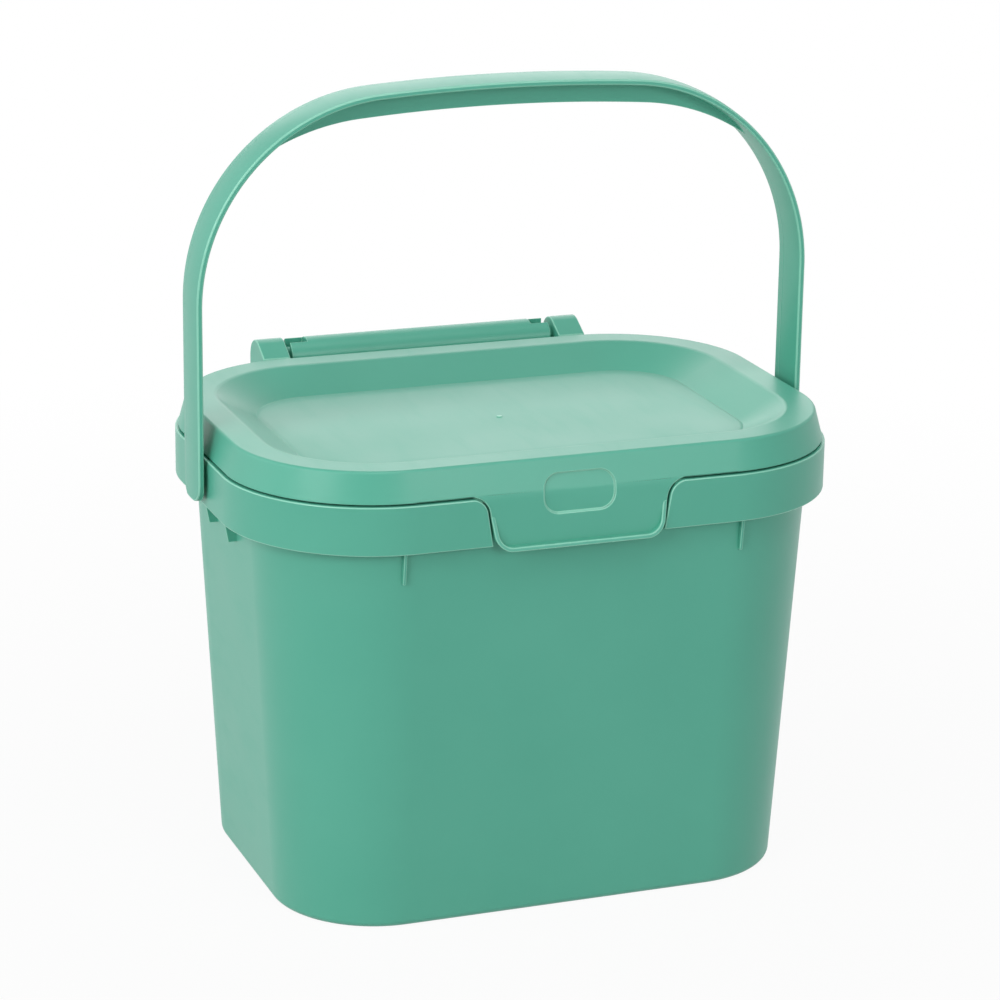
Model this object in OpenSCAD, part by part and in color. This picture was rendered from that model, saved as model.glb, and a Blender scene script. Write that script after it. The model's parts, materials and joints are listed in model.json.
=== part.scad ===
// Kitchen compost caddy: a tapering tub with an overhanging collar, a lid on a
// snap hinge at the rear, and a bail handle pinned to the sides of the collar.
// Millimetres, +Z up, front towards -Y, origin at the centre of the base.

/* [Tub] */
// Width of the tub at its base
base_w = 213; // [180:1:240]
// Depth of the tub at its base
base_d = 151.4; // [130:1:180]
// Corner radius of the tub at its base
base_r = 42.3; // [30:0.5:55]
// Height from the base to the top of the collar
tub_h = 177.6; // [150:1:240]
// Outward slope of the tub's walls, in degrees from upright
draft = 3.27; // [2:0.05:4]
// Wall thickness of the tub
wall = 2; // [1.5:0.1:3]
// Thickness of the tub's floor
floor_t = 2.4; // [1.5:0.1:4]
// Rounding outside, where the walls meet the base
foot_r = 3; // [2:0.5:6]
// Rounding inside, where the walls meet the floor
floor_r = 4; // [2:0.5:8]

/* [Collar] */
// Overhang of the collar beyond the tub's walls at the sides
side_overhang = 8.35; // [7.5:0.05:14]
// Overhang of the collar beyond the tub's walls at the front and rear
front_overhang = 3.05; // [2.9:0.05:8]
// Corner radius of the collar
collar_r = 59.7; // [52:0.1:64]
// Height of the collar's skirt
skirt_h = 19.3; // [19:0.1:24]
// Thickness of the skirt and of the flange above it
skirt_t = 2; // [1.5:0.1:2.4]
// Bevel along the outer edges of the collar
collar_edge = 0.5; // [0.2:0.1:0.8]
// Height of the gussets under the collar
gusset_h = 32.2; // [28:0.1:45]
// Thickness of a gusset
gusset_t = 1.2; // [0.8:0.1:2]
// Depth of a side gusset at its lower end
side_gusset_d = 3.4; // [2:0.1:5]
// Depth below the collar's top where a side gusset meets the skirt
side_gusset_meet = 6.7; // [4:0.1:15]
// Spacing of the pair of gussets on each side
side_gusset_gap = 26.6; // [20:0.2:40]
// Depth of a front gusset at its lower end
front_gusset_d = 1.2; // [0.8:0.1:2]
// Depth below the collar's top where a front gusset meets the skirt
front_gusset_meet = 18.5; // [8:0.1:18.5]
// Spacing of the pair of gussets at the front
front_gusset_gap = 139.6; // [120:0.2:144]

/* [Lid] */
// Height of the lid's top above the collar
lid_h = 12.9; // [11:0.1:16]
// Thickness of the lid
lid_t = 2; // [1.5:0.1:2.4]
// Open seam between the lid and the collar
seam = 0.5; // [0.3:0.1:1]
// How far the lid's side stands in from the collar at the seam
lid_inset = 0.9; // [0.5:0.1:1.2]
// How far the lid's side leans in between the seam and its top
lid_lean = 3.5; // [2:0.1:5]
// Rounding between the lid's side and its top
lid_edge = 1.4; // [1:0.1:2]
// Width of the flat rim round the lid's top
rim_w = 11.9; // [10:0.1:13]
// Width of the slope between the rim and the sunken pan
slope_w = 16.5; // [10:0.1:20]
// Depth of the pan below the rim
pan_drop = 8.5; // [5:0.1:8.8]
// Depth of the locating rib inside the tub's mouth
rib_drop = 3.5; // [2:0.1:6]
// Thickness of the locating rib
rib_t = 1.6; // [1.2:0.1:2]
// Gap between the locating rib and the tub's mouth
rib_gap = 1; // [0.6:0.1:1.4]
// Radius of the gate mark in the middle of the pan
gate_r = 1.2; // [0.5:0.1:2]
// Height of the gate mark
gate_h = 0.4; // [0.2:0.1:0.8]

/* [Lift tab] */
// Width of the tab where its sides would meet the seam
tab_w = 75.4; // [60:0.2:90]
// How much narrower the tab is at its foot
tab_taper = 7.2; // [2:0.2:10]
// How far the tab hangs below the seam
tab_drop = 21.9; // [20:0.1:28]
// Corner radius at the tab's foot
tab_r = 7.5; // [6:0.5:10]
// Fillet where the tab leaves the seam
tab_fillet = 7.6; // [4:0.2:9]
// Thickness of the tab
tab_t = 1.6; // [1.4:0.1:1.8]
// How far the tab's face leans out between the seam and its foot
tab_lean = 0.9; // [0.4:0.1:1.4]
// Gap between the tab and its notch in the collar
tab_gap = 0.8; // [0.5:0.1:1.2]
// Width of the raised bead round the tab
bead_w = 1.7; // [1.2:0.1:2.5]
// How far the bead stands out at the tab's foot
bead_out = 2.6; // [1:0.1:3]
// Height over which the bead fades out
bead_h = 14; // [10:1:18]
// Width of the oval recess on the tab
oval_w = 29.2; // [20:0.2:36]
// Height of the oval recess on the tab
oval_h = 15.4; // [12:0.2:17]
// Corner radius of the oval recess
oval_r = 6.2; // [4:0.1:6.8]
// Depth of the oval recess
oval_depth = 0.6; // [0.4:0.1:0.8]
// Depth of the middle of the oval recess below the collar's top
oval_down = 0.8; // [-1:0.1:3]

/* [Rear hinge] */
// Distance of the hinge axis behind the collar
hinge_back = 11.1; // [10.5:0.1:13]
// Height of the hinge axis above the collar
hinge_up = 9.4; // [8.5:0.1:12]
// Radius of the hinge knuckles on the collar
knuckle_r = 8; // [7:0.1:8.6]
// Width of each knuckle
knuckle_w = 11.8; // [8:0.1:13]
// Distance between the two knuckles
knuckle_gap = 121; // [100:1:124]
// Wall thickness of the knuckles, which are hollow from below
knuckle_t = 2.2; // [1.8:0.1:2.6]
// Clearance between the knuckles' ramps and the lid's rear side as it opens
ramp_clear = 1.7; // [1:0.1:2]
// Rise of the ramp's foot, in degrees about the hinge axis
ramp_turn = 12; // [8:1:16]
// Radius of the barrel on the lid
barrel_r = 7.75; // [6.5:0.05:8]
// Gap between each end of the barrel and its knuckle
barrel_gap = 2.2; // [1:0.1:3]
// Wall thickness of the barrel, which is hollow from below
barrel_t = 2.2; // [1.8:0.1:2.6]
// Radius of the hinge pins
hinge_pin_r = 4; // [3:0.1:4.2]
// Radial clearance of both pairs of pins in their bores
pin_clear = 0.05; // [0.02:0.01:0.1]
// Length of a hinge pin inside the barrel
hinge_pin_l = 6.8; // [4:0.1:8]
// Clearance beyond the tip of a hinge pin
tip_clear = 0.9; // [0.5:0.1:1.5]
// Width of the slot above a hinge pin, a little under the pin's own width
slot_w = 7.4; // [5:0.1:7.8]
// Thickness of the web that carries the barrel
web_t = 3.2; // [2:0.1:4]

/* [Handle] */
// Gap between the handle's limbs and the collar
handle_gap = 1.6; // [1:0.1:3]
// Height of the handle's top above its pivots
handle_rise = 151.8; // [145:0.2:200]
// Width of the handle's band
band_w = 20.4; // [14:0.2:22]
// Thickness of the handle's band
band_t = 2.2; // [1.8:0.1:3]
// Bevel along the band's edges
band_edge = 0.6; // [0.3:0.1:0.8]
// How far the band's outer face swells between its edges
band_swell_out = 0.7; // [0.3:0.1:1.2]
// How far the band's inner face swells between its edges
band_swell_in = 0.5; // [0.3:0.1:0.6]
// Radius of the handle's shoulders
shoulder_r = 80.9; // [60:0.1:95]
// Radius of the gently arched crown between the shoulders
crown_r = 756; // [400:1:1200]
// Height of the pivots below the top of the collar
pivot_down = 8.6; // [8:0.1:11]
// Length of the limbs below the pivots
limb_end = 8.5; // [7:0.1:10]
// Corner radius at the limbs' lower ends
limb_end_r = 7; // [3:0.5:7]
// Depth of the rib under the grip
grip_rib_h = 8.3; // [5:0.1:10]
// Thickness of the rib under the grip
grip_rib_t = 2.4; // [1.6:0.1:4]
// Half width over which the rib keeps its full depth
grip_rib_half = 60; // [50:1:64]
// Radius of the rib's lower edge where it runs out along the shoulders
grip_rib_r = 93; // [90:1:105]
// Radius of the handle's pivot pins
pivot_pin_r = 4; // [3:0.1:4.5]
// How far the heads of the pivot pins stand out round the pins
pivot_head_lip = 1; // [0.6:0.1:1.5]
// Thickness of the heads on the pivot pins
pivot_head_t = 1.8; // [1:0.1:2.2]
// Side play of the heads behind the skirt
pivot_play = 0.4; // [0.2:0.1:0.8]

/* [Hidden] */
$fn = 96;
crown_fn = 720;                    // facets of the very large circles of the crown
over = 1;                          // overshoot of a cut past the face that it opens
plastic = [0.36, 0.66, 0.57];

slope = tan(draft);
base_cx = base_w / 2 - base_r;
base_cy = base_d / 2 - base_r;
collar_w = base_w + 2 * (slope * tub_h + side_overhang);
collar_d = base_d + 2 * (slope * tub_h + front_overhang);
collar_cx = collar_w / 2 - collar_r;
collar_cy = collar_d / 2 - collar_r;
skirt_z = tub_h - skirt_h;
gusset_z = tub_h - gusset_h;

lid_z = tub_h + seam;
lid_top = tub_h + lid_h;
pan_z = lid_top - pan_drop;
side_slope = lid_lean / lid_h;

tab_foot = lid_z - tab_drop;
tab_turn = atan(tab_taper / 2 / tab_drop);
tab_foot_cx = (tab_w - tab_taper) / 2 - tab_r * (1 - sin(tab_turn)) / cos(tab_turn);
tab_root_cx = tab_w / 2 + tab_fillet * (1 - sin(tab_turn)) / cos(tab_turn);

hinge_y = collar_d / 2 + hinge_back;
hinge_z = tub_h + hinge_up;
barrel_l = knuckle_gap - 2 * barrel_gap;
slot_l = hinge_pin_l + tip_clear;
lid_sweep = (hinge_back + lid_inset + side_slope * hinge_up) / norm([1, side_slope]);
ramp_r = lid_sweep - ramp_clear;

pivot_z = tub_h - pivot_down;
handle_half = collar_w / 2 + handle_gap + band_t;
shoulder_x = handle_half - shoulder_r;
crown_z = pivot_z + handle_rise - crown_r;
shoulder_turn = acos(shoulder_x / (crown_r - shoulder_r));
shoulder_z = crown_z + (crown_r - shoulder_r) * sin(shoulder_turn);

// Distance of the tub's outer wall from its corner centres at height z
function tub_r(z) = base_r + slope * z;

// Distance of the lid's outer side from the collar's corner centres at height z
function lid_r(z) = collar_r - lid_inset - side_slope * (z - tub_h);

// Points along an arc from angle a0 to a1, in n steps
function arc(centre, r, a0, a1, n) =
    [for (i = [0:n]) centre + r * [cos(a0 + (a1 - a0) * i / n), sin(a0 + (a1 - a0) * i / n)]];

function reversed(points) = [for (i = [len(points) - 1:-1:0]) points[i]];

// The same points in reverse order, mirrored about x = 0
function mirrored(points) = [for (p = reversed(points)) [-p.x, p.y]];

// A side view in (y, z), carried across X and centred
module across(width) {
    translate([-width / 2, 0, 0])
        rotate([90, 0, 90])
            linear_extrude(width)
                children();
}

// A front view in (x, z), carried from y0 to y1
module through(y0, y1) {
    translate([0, y1, 0])
        rotate([90, 0, 0])
            linear_extrude(y1 - y0)
                children();
}

// A pin or bore along X, from x0 to x1
module rod(x0, x1, y, z, r) {
    translate([x0, y, z])
        rotate([0, 90, 0])
            cylinder(r = r, h = x1 - x0);
}

module both_sides() {
    children();
    mirror([1, 0, 0])
        children();
}

// Carries a wall profile round a rounded rectangle whose corner centres are at
// (+-cx, +-cy). The profile's x is the distance out from those centres.
module around(cx, cy) {
    for (turn = [0, 180]) {
        rotate([0, 0, turn]) {
            translate([0, cy, 0]) across(2 * cx) children();
            translate([cx, cy, 0]) rotate_extrude(angle = 90) children();
        }
        rotate([0, 0, turn + 90]) {
            translate([0, cx, 0]) across(2 * cy) children();
            translate([cy, cx, 0]) rotate_extrude(angle = 90) children();
        }
    }
}

// The same, with the middle filled from z0 to z1
module around_solid(cx, cy, z0, z1) {
    around(cx, cy) children();
    translate([-cx, -cy, z0])
        cube([2 * cx, 2 * cy, z1 - z0]);
}

// ---- Tub ----

module tub_outside() {
    foot_centre = [tub_r(foot_r) - foot_r / cos(draft), foot_r];
    around_solid(base_cx, base_cy, 0, tub_h)
        polygon(concat(
            [[0, 0]],
            arc(foot_centre, foot_r, -90, -draft, 4),
            [[tub_r(tub_h), tub_h], [0, tub_h]]));
}

module tub_inside() {
    turn_z = floor_t + floor_r;
    floor_centre = [tub_r(turn_z) - wall - floor_r / cos(draft), turn_z];
    around_solid(base_cx, base_cy, floor_t, tub_h + over)
        polygon(concat(
            [[0, floor_t]],
            arc(floor_centre, floor_r, -90, -draft, 4),
            [[tub_r(tub_h + over) - wall, tub_h + over], [0, tub_h + over]]));
}

// Flange and skirt, which the lift tab's notch interrupts at the front
module collar() {
    tub_front = -base_cy - tub_r(tub_h);
    difference() {
        around(collar_cx, collar_cy)
            polygon([
                [0, tub_h - skirt_t],
                [collar_r - skirt_t, tub_h - skirt_t],
                [collar_r - skirt_t, skirt_z],
                [collar_r - collar_edge, skirt_z],
                [collar_r, skirt_z + collar_edge],
                [collar_r, tub_h - collar_edge],
                [collar_r - collar_edge, tub_h],
                [0, tub_h]]);
        through(-collar_d / 2 - over, tub_front + wall / 2)
            notch_outline();
    }
}

// Right side of the tab in front view: straight up from its foot corner, then flaring into the seam
function tab_flare(level, grow) =
    arc([tab_root_cx, level - tab_fillet], tab_fillet - grow, 180 - tab_turn, 90, 6);

// Notch in the collar: it follows the tab at a gap, and runs straight out below the skirt
module notch_outline() {
    flare = tab_flare(tub_h - seam, tab_gap);
    foot_z = skirt_z - over;
    foot_x = flare[0].x - (flare[0].y - foot_z) * tan(tab_turn);
    right = concat([[foot_x, foot_z]], flare, [[tab_root_cx, tub_h + over]]);
    polygon(concat(right, mirrored(right)));
}

// Side view of a gusset: from the tub's wall out to the skirt, measured from the middle
module gusset_profile(wall_from, skirt_face, depth, meet) {
    wall_face = wall_from + tub_r(gusset_z);
    polygon([
        [wall_face - wall / 2, gusset_z],
        [wall_face + depth, gusset_z],
        [skirt_face, tub_h - meet],
        [skirt_face + skirt_t / 2, tub_h - meet],
        [skirt_face + skirt_t / 2, tub_h - skirt_t / 2],
        [wall_face - wall / 2, tub_h - skirt_t / 2]]);
}

module gusset_pair(spacing) {
    both_sides()
        translate([spacing / 2, 0, 0])
            across(gusset_t)
                children();
}

module gussets() {
    for (turn = [90, -90])
        rotate([0, 0, turn])
            gusset_pair(side_gusset_gap)
                gusset_profile(base_cx, collar_w / 2 - skirt_t, side_gusset_d, side_gusset_meet);
    rotate([0, 0, 180])
        gusset_pair(front_gusset_gap)
            gusset_profile(base_cy, collar_d / 2 - skirt_t, front_gusset_d, front_gusset_meet);
}

// Side view of a hinge knuckle: a round head with a ramp before it and a bracket below
module knuckle_profile() {
    ramp_foot = [hinge_y, hinge_z] + ramp_r * [-cos(ramp_turn), sin(ramp_turn)];
    head_turn = ramp_turn + acos(knuckle_r / ramp_r);
    ramp_head = [hinge_y, hinge_z] + knuckle_r * [-cos(head_turn), sin(head_turn)];
    rear = hinge_y + knuckle_r;
    skirt_mid = collar_d / 2 - skirt_t / 2;
    translate([hinge_y, hinge_z])
        circle(knuckle_r);
    polygon([
        ramp_foot,
        ramp_head,
        [hinge_y, hinge_z],
        [rear, hinge_z],
        [rear, tub_h],
        [skirt_mid, skirt_z + collar_edge],
        [skirt_mid, tub_h - skirt_t / 2],
        [collar_d / 2, tub_h - skirt_t / 2]]);
}

// The hollow of a knuckle, open from below
module knuckle_pocket() {
    r = knuckle_r - knuckle_t;
    front = collar_d / 2 + knuckle_t;
    translate([hinge_y, hinge_z])
        circle(r);
    polygon([
        [front, skirt_z - over],
        [hinge_y + r, skirt_z - over],
        [hinge_y + r, hinge_z],
        [hinge_y, hinge_z + r],
        [front, hinge_z]]);
}

module knuckles() {
    both_sides()
        translate([(knuckle_gap + knuckle_w) / 2, 0, 0])
            difference() {
                across(knuckle_w)
                    knuckle_profile();
                across(knuckle_w - 2 * knuckle_t)
                    knuckle_pocket();
            }
}

module hinge_pins() {
    both_sides()
        rod(barrel_l / 2 - hinge_pin_l, (knuckle_gap + knuckle_t) / 2, hinge_y, hinge_z, hinge_pin_r);
}

module pivot_holes() {
    inside = collar_w / 2 - skirt_t - over;
    both_sides()
        rod(inside, collar_w / 2 + over, 0, pivot_z, pivot_pin_r + pin_clear);
}

module tub() {
    color(plastic)
        difference() {
            union() {
                tub_outside();
                collar();
                gussets();
                knuckles();
                hinge_pins();
            }
            tub_inside();
            pivot_holes();
        }
}

// ---- Lid ----

module lid_shell() {
    side_turn = atan(side_slope);
    rim_r = lid_r(lid_top) - rim_w;
    pan_r = rim_r - slope_w;
    slope_shift = lid_t * tan(atan(pan_drop / slope_w) / 2);
    edge_z = lid_top - lid_edge;
    edge_centre = [lid_r(edge_z) - lid_edge / cos(side_turn), edge_z];
    around_solid(collar_cx, collar_cy, pan_z - lid_t, pan_z)
        polygon(concat(
            [[0, pan_z], [pan_r, pan_z], [rim_r, lid_top]],
            arc(edge_centre, lid_edge, 90, side_turn, 3),
            [
                [lid_r(lid_z), lid_z],
                [lid_r(lid_z) - lid_t, lid_z],
                [lid_r(lid_top - lid_t) - lid_t, lid_top - lid_t],
                [rim_r + slope_shift, lid_top - lid_t],
                [pan_r + slope_shift, pan_z - lid_t],
                [0, pan_z - lid_t]
            ]));
}

// Rib under the rim that centres the lid in the tub's mouth
module locating_rib() {
    rib_r = tub_r(tub_h) - wall - rib_gap;
    around(base_cx, base_cy)
        polygon([
            [rib_r - rib_t, tub_h - rib_drop],
            [rib_r, tub_h - rib_drop],
            [rib_r, lid_top - lid_t / 2],
            [rib_r - rib_t, lid_top - lid_t / 2]]);
}

// Front outline of the lift tab, shrunk all round by `shrink`
module tab_outline(shrink) {
    foot = arc([tab_foot_cx, tab_foot + tab_r], tab_r - shrink, -90, -tab_turn, 6);
    flare = tab_flare(lid_z, -shrink);
    right = concat(foot, flare, [[tab_root_cx, lid_z + lid_t]]);
    polygon(concat(right, mirrored(right)));
}

// The tab's face in side view: it carries on from the lid's side, then hangs to its foot
function tab_face(inset) =
    let (front = inset - collar_d / 2 + lid_inset)
    [[front + side_slope * (seam + lid_t), lid_z + lid_t], [front, tub_h], [front - tab_lean, tab_foot]];

module tab_plate() {
    intersection() {
        through(-collar_d / 2 - over, -collar_d / 2 + 3 * lid_t)
            tab_outline(0);
        across(2 * tab_root_cx)
            polygon(concat(tab_face(0), reversed(tab_face(tab_t))));
    }
}

// Raised bead that stands out at the tab's foot and fades out up its sides
module tab_bead() {
    face = tab_face(0)[2].x;
    intersection() {
        through(face - bead_out, face + tab_t)
            difference() {
                tab_outline(0);
                tab_outline(bead_w);
            }
        across(tab_w)
            polygon([
                [face - bead_out, tab_foot],
                [face - bead_out, tab_foot + bead_w],
                [face + tab_lean, tab_foot + bead_h],
                [face + tab_lean + tab_t / 2, tab_foot + bead_h],
                [face + tab_t / 2, tab_foot]]);
    }
}

module oval() {
    for (x = [-1, 1])
        for (z = [-1, 1])
            translate([x * (oval_w / 2 - oval_r), z * (oval_h / 2 - oval_r)])
                circle(oval_r);
    square([oval_w - 2 * oval_r, oval_h], center = true);
    square([oval_w, oval_h - 2 * oval_r], center = true);
}

// Cutter for the recess, whose floor follows the leaning faces of the lid and the tab
module oval_recess() {
    front = -collar_d / 2 - over;
    floor_y = -collar_d / 2 + lid_inset + oval_depth;
    intersection() {
        through(front, front + 4 * lid_t)
            translate([0, tub_h - oval_down])
                oval();
        across(oval_w + over)
            polygon([
                [front, lid_top],
                [floor_y + lid_lean, lid_top],
                [floor_y, tub_h],
                [floor_y - tab_lean, tab_foot],
                [front, tab_foot]]);
    }
}

// Hollow of the barrel, open from below between the two bored ends
module barrel_pocket() {
    r = barrel_r - barrel_t;
    across(barrel_l - 2 * (slot_l + barrel_t)) {
        translate([hinge_y, hinge_z])
            circle(r);
        translate([hinge_y - r, hinge_z - barrel_r - over])
            square([2 * r, barrel_r + over]);
    }
}

// Bore for a hinge pin, with the slot above it through which the pin snaps in
module pin_seat() {
    inner = barrel_l / 2 - slot_l;
    rod(inner, barrel_l / 2 + over, hinge_y, hinge_z, hinge_pin_r + pin_clear);
    translate([inner, hinge_y - slot_w / 2, hinge_z])
        cube([slot_l + over, slot_w, barrel_r + over]);
}

module barrel() {
    web_z = hinge_z - (barrel_r + web_t) / 2;
    web_y = collar_cy + lid_r(web_z) - lid_t;
    difference() {
        union() {
            rod(-barrel_l / 2, barrel_l / 2, hinge_y, hinge_z, barrel_r);
            translate([-barrel_l / 2, web_y, web_z])
                cube([barrel_l, hinge_y - web_y, web_t]);
        }
        barrel_pocket();
        both_sides()
            pin_seat();
    }
}

module gate_mark() {
    translate([0, 0, pan_z - lid_t / 2])
        cylinder(r = gate_r, h = lid_t / 2 + gate_h);
}

module lid() {
    color(plastic)
        difference() {
            union() {
                lid_shell();
                locating_rib();
                tab_plate();
                tab_bead();
                barrel();
                gate_mark();
            }
            oval_recess();
        }
}

// ---- Handle ----

// Points across one swollen face of the band, which stands out by `swell` in the middle
function swollen_face(swell) =
    let (
        half = band_w / 2 - band_edge,
        r = (half ^ 2 + swell ^ 2) / (2 * swell),
        turn = asin(half / r))
    arc([swell - r, 0], r, -turn, turn, 6);

// Section of the band: x = 0 at its outer edges, y runs across its width
module band_section() {
    half = band_w / 2;
    inner_face = [for (p = swollen_face(band_swell_in)) [-band_t - p.x, -p.y]];
    polygon(concat(
        swollen_face(band_swell_out),
        [[-band_edge, half], [-band_t + band_edge, half]],
        inner_face,
        [[-band_t + band_edge, -half], [-band_edge, -half]]));
}

// The band bent round a centre in the handle's plane, from angle a0 through `sweep`
module bent_band(x, z, r, a0, sweep) {
    translate([x, 0, z])
        rotate([90, 0, 0])
            rotate([0, 0, a0])
                rotate_extrude(angle = sweep)
                    translate([r, 0])
                        band_section();
}

// Side view of a limb, rounded at its lower corners
module limb_outline() {
    foot = pivot_z - limb_end;
    corner_y = band_w / 2 - limb_end_r;
    for (side = [-1, 1])
        translate([side * corner_y, foot + limb_end_r])
            circle(limb_end_r);
    translate([-corner_y, foot])
        square([2 * corner_y, limb_end_r]);
    translate([-band_w / 2 - over, foot + limb_end_r])
        square([band_w + 2 * over, shoulder_z - foot]);
}

module limb() {
    intersection() {
        translate([handle_half, 0, shoulder_z])
            mirror([0, 0, 1])
                linear_extrude(handle_rise)
                    band_section();
        translate([handle_half - band_t / 2, 0, 0])
            across(band_t + 2 * (band_swell_out + band_swell_in))
                limb_outline();
    }
}

// Pin that points inwards through the skirt, with a head behind it
module pivot_pin() {
    head = collar_w / 2 - skirt_t - pivot_play;
    rod(head - pivot_head_t, handle_half - band_t / 2, 0, pivot_z, pivot_pin_r);
    rod(head - pivot_head_t, head, 0, pivot_z, pivot_pin_r + pivot_head_lip);
}

// Front view of everything under the middle of the band's thickness, above the shoulders' centres
module arch_inside() {
    mid_r = crown_r - band_t / 2;
    join_x = mid_r * cos(shoulder_turn);
    height = pivot_z + handle_rise - shoulder_z;
    intersection() {
        translate([0, crown_z])
            circle(mid_r, $fn = crown_fn);
        translate([-join_x, shoulder_z])
            square([2 * join_x, height]);
    }
    for (side = [-1, 1])
        intersection() {
            translate([side * shoulder_x, shoulder_z])
                circle(shoulder_r - band_t / 2);
            translate([side > 0 ? join_x : -handle_half, shoulder_z])
                square([handle_half - join_x, height]);
        }
}

// Rib under the grip: an even depth in the middle, running out along the shoulders
module grip_rib() {
    under_r = crown_r - band_t - grip_rib_h;
    turn = asin(grip_rib_half / under_r);
    end_x = (under_r - grip_rib_r) * sin(turn);
    end_z = crown_z + (under_r - grip_rib_r) * cos(turn);
    through(-grip_rib_t / 2, grip_rib_t / 2)
        difference() {
            arch_inside();
            intersection() {
                translate([0, crown_z])
                    circle(under_r, $fn = crown_fn);
                translate([-grip_rib_half, shoulder_z - over])
                    square([2 * grip_rib_half, handle_rise]);
            }
            for (side = [-1, 1])
                translate([side * end_x, end_z])
                    circle(grip_rib_r);
        }
}

module handle() {
    color(plastic) {
        bent_band(0, crown_z, crown_r, shoulder_turn, 180 - 2 * shoulder_turn, $fn = crown_fn);
        both_sides() {
            bent_band(shoulder_x, shoulder_z, shoulder_r, 0, shoulder_turn);
            limb();
            pivot_pin();
        }
        grip_rib();
    }
}

tub();
lid();
handle();
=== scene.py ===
import json
import math

import bmesh
import bpy
from bpy.props import FloatProperty, FloatVectorProperty, IntProperty, PointerProperty
from mathutils import Matrix, Vector


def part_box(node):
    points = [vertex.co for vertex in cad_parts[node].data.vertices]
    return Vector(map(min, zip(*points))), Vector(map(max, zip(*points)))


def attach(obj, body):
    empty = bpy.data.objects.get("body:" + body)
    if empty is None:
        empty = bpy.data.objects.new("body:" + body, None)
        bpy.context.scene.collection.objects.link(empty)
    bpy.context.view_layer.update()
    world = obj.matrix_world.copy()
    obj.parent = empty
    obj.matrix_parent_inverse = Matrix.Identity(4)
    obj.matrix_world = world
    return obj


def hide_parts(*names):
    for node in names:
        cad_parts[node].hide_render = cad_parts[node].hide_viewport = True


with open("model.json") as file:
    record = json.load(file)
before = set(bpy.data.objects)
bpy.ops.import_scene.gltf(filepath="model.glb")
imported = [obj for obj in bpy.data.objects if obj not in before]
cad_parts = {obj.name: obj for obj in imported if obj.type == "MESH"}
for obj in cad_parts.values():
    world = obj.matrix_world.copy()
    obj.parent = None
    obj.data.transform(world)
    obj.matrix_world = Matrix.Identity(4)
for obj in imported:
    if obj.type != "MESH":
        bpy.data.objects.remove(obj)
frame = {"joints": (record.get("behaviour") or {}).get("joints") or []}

bl_info = {
    "name": "Kitchen compost caddy",
    "version": (1, 0, 0),
    "blender": (4, 5, 0),
    "location": "3D View > Sidebar > Caddy",
    "description": "Dresses the tub, the lid and the bail handle of a moulded plastic caddy",
    "category": "Object",
}

MM = 0.001
TINY = 0.01 * MM  # too little to see, but enough to keep two faces out of one plane
OVER = 1 * MM  # how far a cutter reaches past what it cuts
WELD = TINY / 10  # points of a new solid that are closer than this become one
CUT_WELD = 3 * TINY  # points that a cut leaves closer than this become one
# The second material slot holds the paler green, a painted highlight on rounded edges and on the gate mark
HIGHLIGHT_SLOT = 1  # a piece's second material, on its rounded edges

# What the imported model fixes: its joints, and the reach of its three bodies
HINGE = Vector(next(j["pos_m"] for j in frame["joints"] if j["name"] == "lid_hinge"))
PIVOT = Vector(next(j["pos_m"] for j in frame["joints"] if j["name"] == "handle_pivot"))
COLLAR_HALF_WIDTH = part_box("tub")[1].x
COLLAR_HALF_DEPTH = -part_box("tub")[0].y
TAB_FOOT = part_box("lid")[0].z


# ---- Settings ----

def length(name, description, millimetres):
    """A length, given in millimetres"""
    return FloatProperty(name=name, description=description, default=millimetres * MM,
                         min=0, precision=5, unit="LENGTH")


def angle(name, description, degrees):
    """An angle, given in degrees"""
    return FloatProperty(name=name, description=description, default=math.radians(degrees),
                         precision=3, subtype="ANGLE")


def colour(name, description, value):
    """A colour in linear light"""
    return FloatVectorProperty(name=name, description=description, default=value,
                               subtype="COLOR", size=3, min=0, max=1)


def share(name, description, value):
    """A share between 0 and 1"""
    return FloatProperty(name=name, description=description, default=value,
                         min=0, max=1, subtype="FACTOR")


def count(name, description, value, lowest, highest):
    """A whole number"""
    return IntProperty(name=name, description=description, default=value, min=lowest, max=highest)


def watts(name, description, value):
    """The power of a light"""
    return FloatProperty(name=name, description=description, default=value, min=0, unit="POWER")


class TubSizes(bpy.types.PropertyGroup):
    """Sizes of the tub, its collar and what is moulded on the collar"""
    base_width: length("Base width", "Width of the tub at its base", 213)
    base_depth: length("Base depth", "Depth of the tub at its base", 151.4)
    base_radius: length("Base corners", "Corner radius of the tub at its base", 42.3)
    height: length("Height", "Height from the base to the top of the collar", 177.6)
    draft: angle("Draft", "Outward slope of the tub's walls", 3.27)
    wall: length("Wall", "Thickness of the tub's walls", 2)
    floor: length("Floor", "Thickness of the tub's floor", 2.4)
    foot_radius: length("Foot rounding", "Rounding where the walls meet the base", 3)
    floor_radius: length("Floor rounding", "Rounding inside, where the walls meet the floor", 4)
    collar_radius: length("Collar corners", "Corner radius of the collar", 59.7)
    skirt_height: length("Skirt height", "Height of the collar's skirt", 19.3)
    skirt: length("Skirt", "Thickness of the skirt and of its flange", 2)
    pin_hole: length("Pin hole", "Radius of the holes for the handle's pins", 4.05)


class GussetSizes(bpy.types.PropertyGroup):
    """Sizes of the gussets under the collar"""
    height: length("Height", "Height of the gussets under the collar's top", 32.2)
    thickness: length("Thickness", "Thickness of a gusset", 1.2)
    side_depth: length("Side depth", "Depth of a side gusset at its lower end", 3.4)
    side_meet: length("Side meeting", "Depth under the collar's top where it meets the skirt", 6.7)
    side_spacing: length("Side spacing", "Spacing of the pair on each side", 26.6)
    front_depth: length("Front depth", "Depth of a front gusset at its lower end", 1.2)
    front_meet: length("Front meeting", "Depth under the collar's top where it meets the skirt", 18.5)
    front_spacing: length("Front spacing", "Spacing of the pair at the front", 139.6)


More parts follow.
